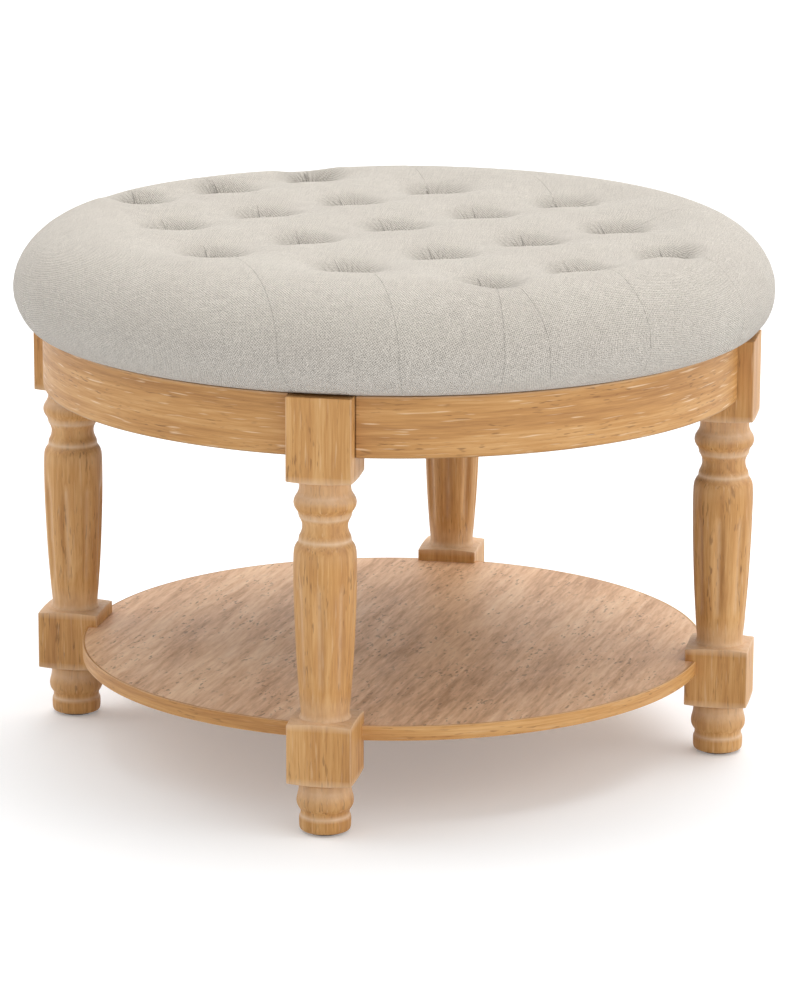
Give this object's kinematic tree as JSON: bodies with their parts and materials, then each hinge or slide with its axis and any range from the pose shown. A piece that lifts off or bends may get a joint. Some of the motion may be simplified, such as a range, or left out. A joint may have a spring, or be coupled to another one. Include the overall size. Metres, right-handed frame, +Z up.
{
  "type": "ottoman coffee table",
  "caption": "Round tufted ottoman coffee table with a linen cushion top, a curved wooden apron, fluted turned legs and a round lower shelf.",
  "frame": {"origin": "on the floor under the centre of the table", "axes": "+Z up through the centre of the cushion; the front leg stands on -Y, the right leg on +X, the back leg on +Y and the left leg on -X"},
  "size_m": [0.685, 0.685, 0.4805],
  "materials": {
    "oak": "worn wax over open grain",
    "softwood": "bare sawn wood",
    "shelf_veneer": "flat veneer with diagonal figure",
    "plywood": "bare sheet",
    "steel": "zinc plated",
    "glide_plastic": "matt",
    "foam": "open cell foam",
    "linen": "plain woven linen",
    "twine": "waxed twine",
    "anchor_plastic": "matt",
    "lining": "thin unwoven cloth"
  },
  "bodies": {
    "root": {"right_leg": "oak", "back_leg": "oak", "left_leg": "oak", "front_leg": "oak", "apron_back_right": "oak", "apron_back_left": "oak", "apron_front_left": "oak", "apron_front_right": "oak", "right_corner_block": "softwood", "back_corner_block": "softwood", "left_corner_block": "softwood", "front_corner_block": "softwood", "apron_tenons": "softwood", "shelf_panel": "shelf_veneer", "shelf_edge_band": "oak", "hanger_bolts": "steel", "bolt_washers": "steel", "bolt_nuts": "steel", "seat_screws": "steel", "foot_glides": "glide_plastic", "seat_board": "plywood", "foam_pad": "foam", "cushion_cover": "linen", "tuft_buttons": "linen", "tuft_ties": "twine", "tuft_anchors": "anchor_plastic", "dust_cover": "lining"}
  },
  "joints": []
}
